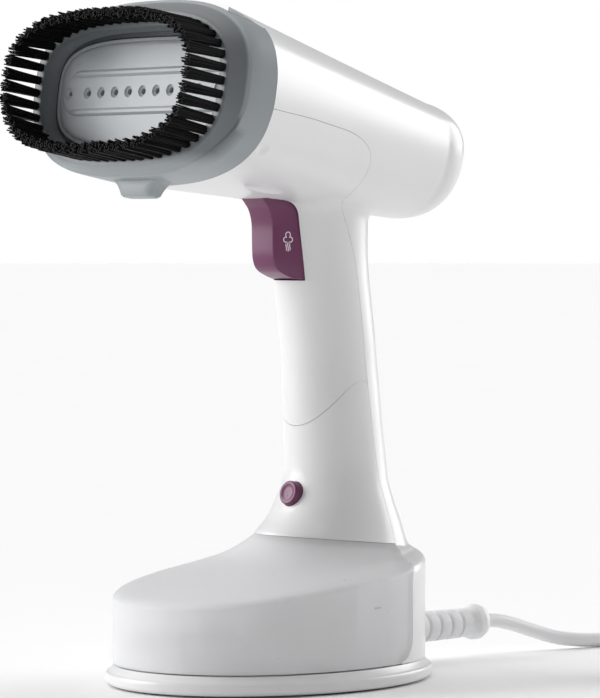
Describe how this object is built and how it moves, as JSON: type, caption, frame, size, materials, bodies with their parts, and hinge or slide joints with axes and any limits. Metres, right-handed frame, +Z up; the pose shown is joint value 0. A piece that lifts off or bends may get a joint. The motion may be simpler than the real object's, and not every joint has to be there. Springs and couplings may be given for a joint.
{
  "type": "handheld garment steamer",
  "caption": "Upright handheld garment steamer with a tilted steam head, bristle frame, finger trigger and a removable clear water tank as its standing base.",
  "frame": {"origin": "on the supporting surface and the plane of symmetry, under the centre of the steamer's bounding box without its cord to within 2 mm", "axes": "+Z up, -Y the way the steam plate faces, +X to the right of a person who looks along +Y; the steamer is symmetric about X = 0"},
  "size_m": [0.199, 0.3906, 0.2922],
  "materials": {
    "white_shell": "glossy moulded white plastic",
    "white_grip": "semi-gloss moulded white plastic",
    "white_base_cover": "matte moulded white plastic",
    "inner_white": "matte moulded plastic",
    "grey_bezel": "matte dark grey plastic",
    "grey_frame": "satin blue-grey plastic",
    "black_bristle": "black nylon filament",
    "steam_plate": "light grey heat-proof plastic",
    "cast_aluminium": "die-cast",
    "violet_plastic": "satin violet plastic",
    "dark_plastic": "matte black plastic",
    "clear_tank": "frosted clear plastic",
    "silicone": "soft silicone",
    "foot_rubber": "grey rubber",
    "white_cord": "white PVC sheath",
    "white_plug": "moulded white PVC",
    "cord_tie": "soft black tie",
    "steel": "zinc-plated steel",
    "brass": "turned brass",
    "plated_brass": "nickel-plated brass",
    "copper_winding": "enamelled copper wire",
    "circuit_board": "solder mask"
  },
  "bodies": {
    "casing": {"rear_shell": "white_shell", "grip_panel": "white_grip", "front_shell": "white_shell", "base_plate": "white_shell", "base_screw_1": "steel", "base_screw_2": "steel", "bottom_cover": "white_base_cover", "foot_1": "foot_rubber", "foot_2": "foot_rubber", "foot_3": "foot_rubber", "foot_4": "foot_rubber", "head_bezel": "grey_bezel", "steam_plate": "steam_plate", "plate_gasket": "silicone", "steam_generator": "cast_aluminium", "heating_element": "steel", "element_clamp": "steel", "clamp_screw_1": "steel", "clamp_screw_2": "steel", "steam_pipe": "brass", "thermostat": "steel", "thermal_fuse": "silicone", "heat_shield": "dark_plastic", "trigger_pin": "steel", "trigger_bracket": "inner_white", "trigger_switch": "dark_plastic", "pump_body": "dark_plastic", "pump_cap": "dark_plastic", "pump_coil": "copper_winding", "pump_mount": "foot_rubber", "pump_spring": "steel", "inlet_hose": "silicone", "outlet_hose": "silicone", "inlet_port": "dark_plastic", "power_switch": "dark_plastic", "control_board": "circuit_board", "heater_lead_live": "dark_plastic", "heater_lead_neutral": "dark_plastic", "terminal_block": "dark_plastic", "cable_clamp": "dark_plastic", "mains_lead": "white_cord", "strain_relief": "white_cord", "power_cord": "white_cord", "cord_coil": "white_cord", "cord_tie": "cord_tie", "cord_tail": "white_cord", "plug_body": "white_plug", "plug_pin_1": "plated_brass", "plug_pin_2": "plated_brass"},
    "brush": {"brush_frame": "grey_frame", "bristle_ring": "black_bristle"},
    "trigger": {"trigger": "violet_plastic", "trigger_spring": "steel"},
    "power_button": {"power_button": "violet_plastic"},
    "tank": {"tank_shell": "clear_tank", "tank_floor": "clear_tank", "filler_plug": "foot_rubber", "tank_valve": "silicone"},
    "armature": {"pump_piston": "steel"}
  },
  "joints": [
    {"name": "brush_slide", "type": "slide", "parent": "casing", "child": "brush", "axis": [0, -0.9877, 0.1564], "range_m": [0, 0.025]},
    {"name": "trigger_pull", "type": "hinge", "parent": "casing", "child": "trigger", "pos_m": [0, 0.013, 0.2125], "axis": [1, 0, 0], "range_deg": [0, 7], "stiffness_Nm_per_rad": 0.3, "springref_deg": -11.46},
    {"name": "power_press", "type": "slide", "parent": "casing", "child": "power_button", "axis": [0, 0.9659, -0.2588], "range_m": [0, 0.0015], "stiffness_N_per_m": 500, "springref_m": -0.001},
    {"name": "tank_slide", "type": "slide", "parent": "casing", "child": "tank", "axis": [0, -1, 0], "range_m": [0, 0.11]},
    {"name": "pump_stroke", "type": "slide", "parent": "casing", "child": "armature", "axis": [0, 0, -1], "range_m": [0, 0.002], "stiffness_N_per_m": 800, "springref_m": -0.002, "deforming": ["pump_spring"]}
  ]
}
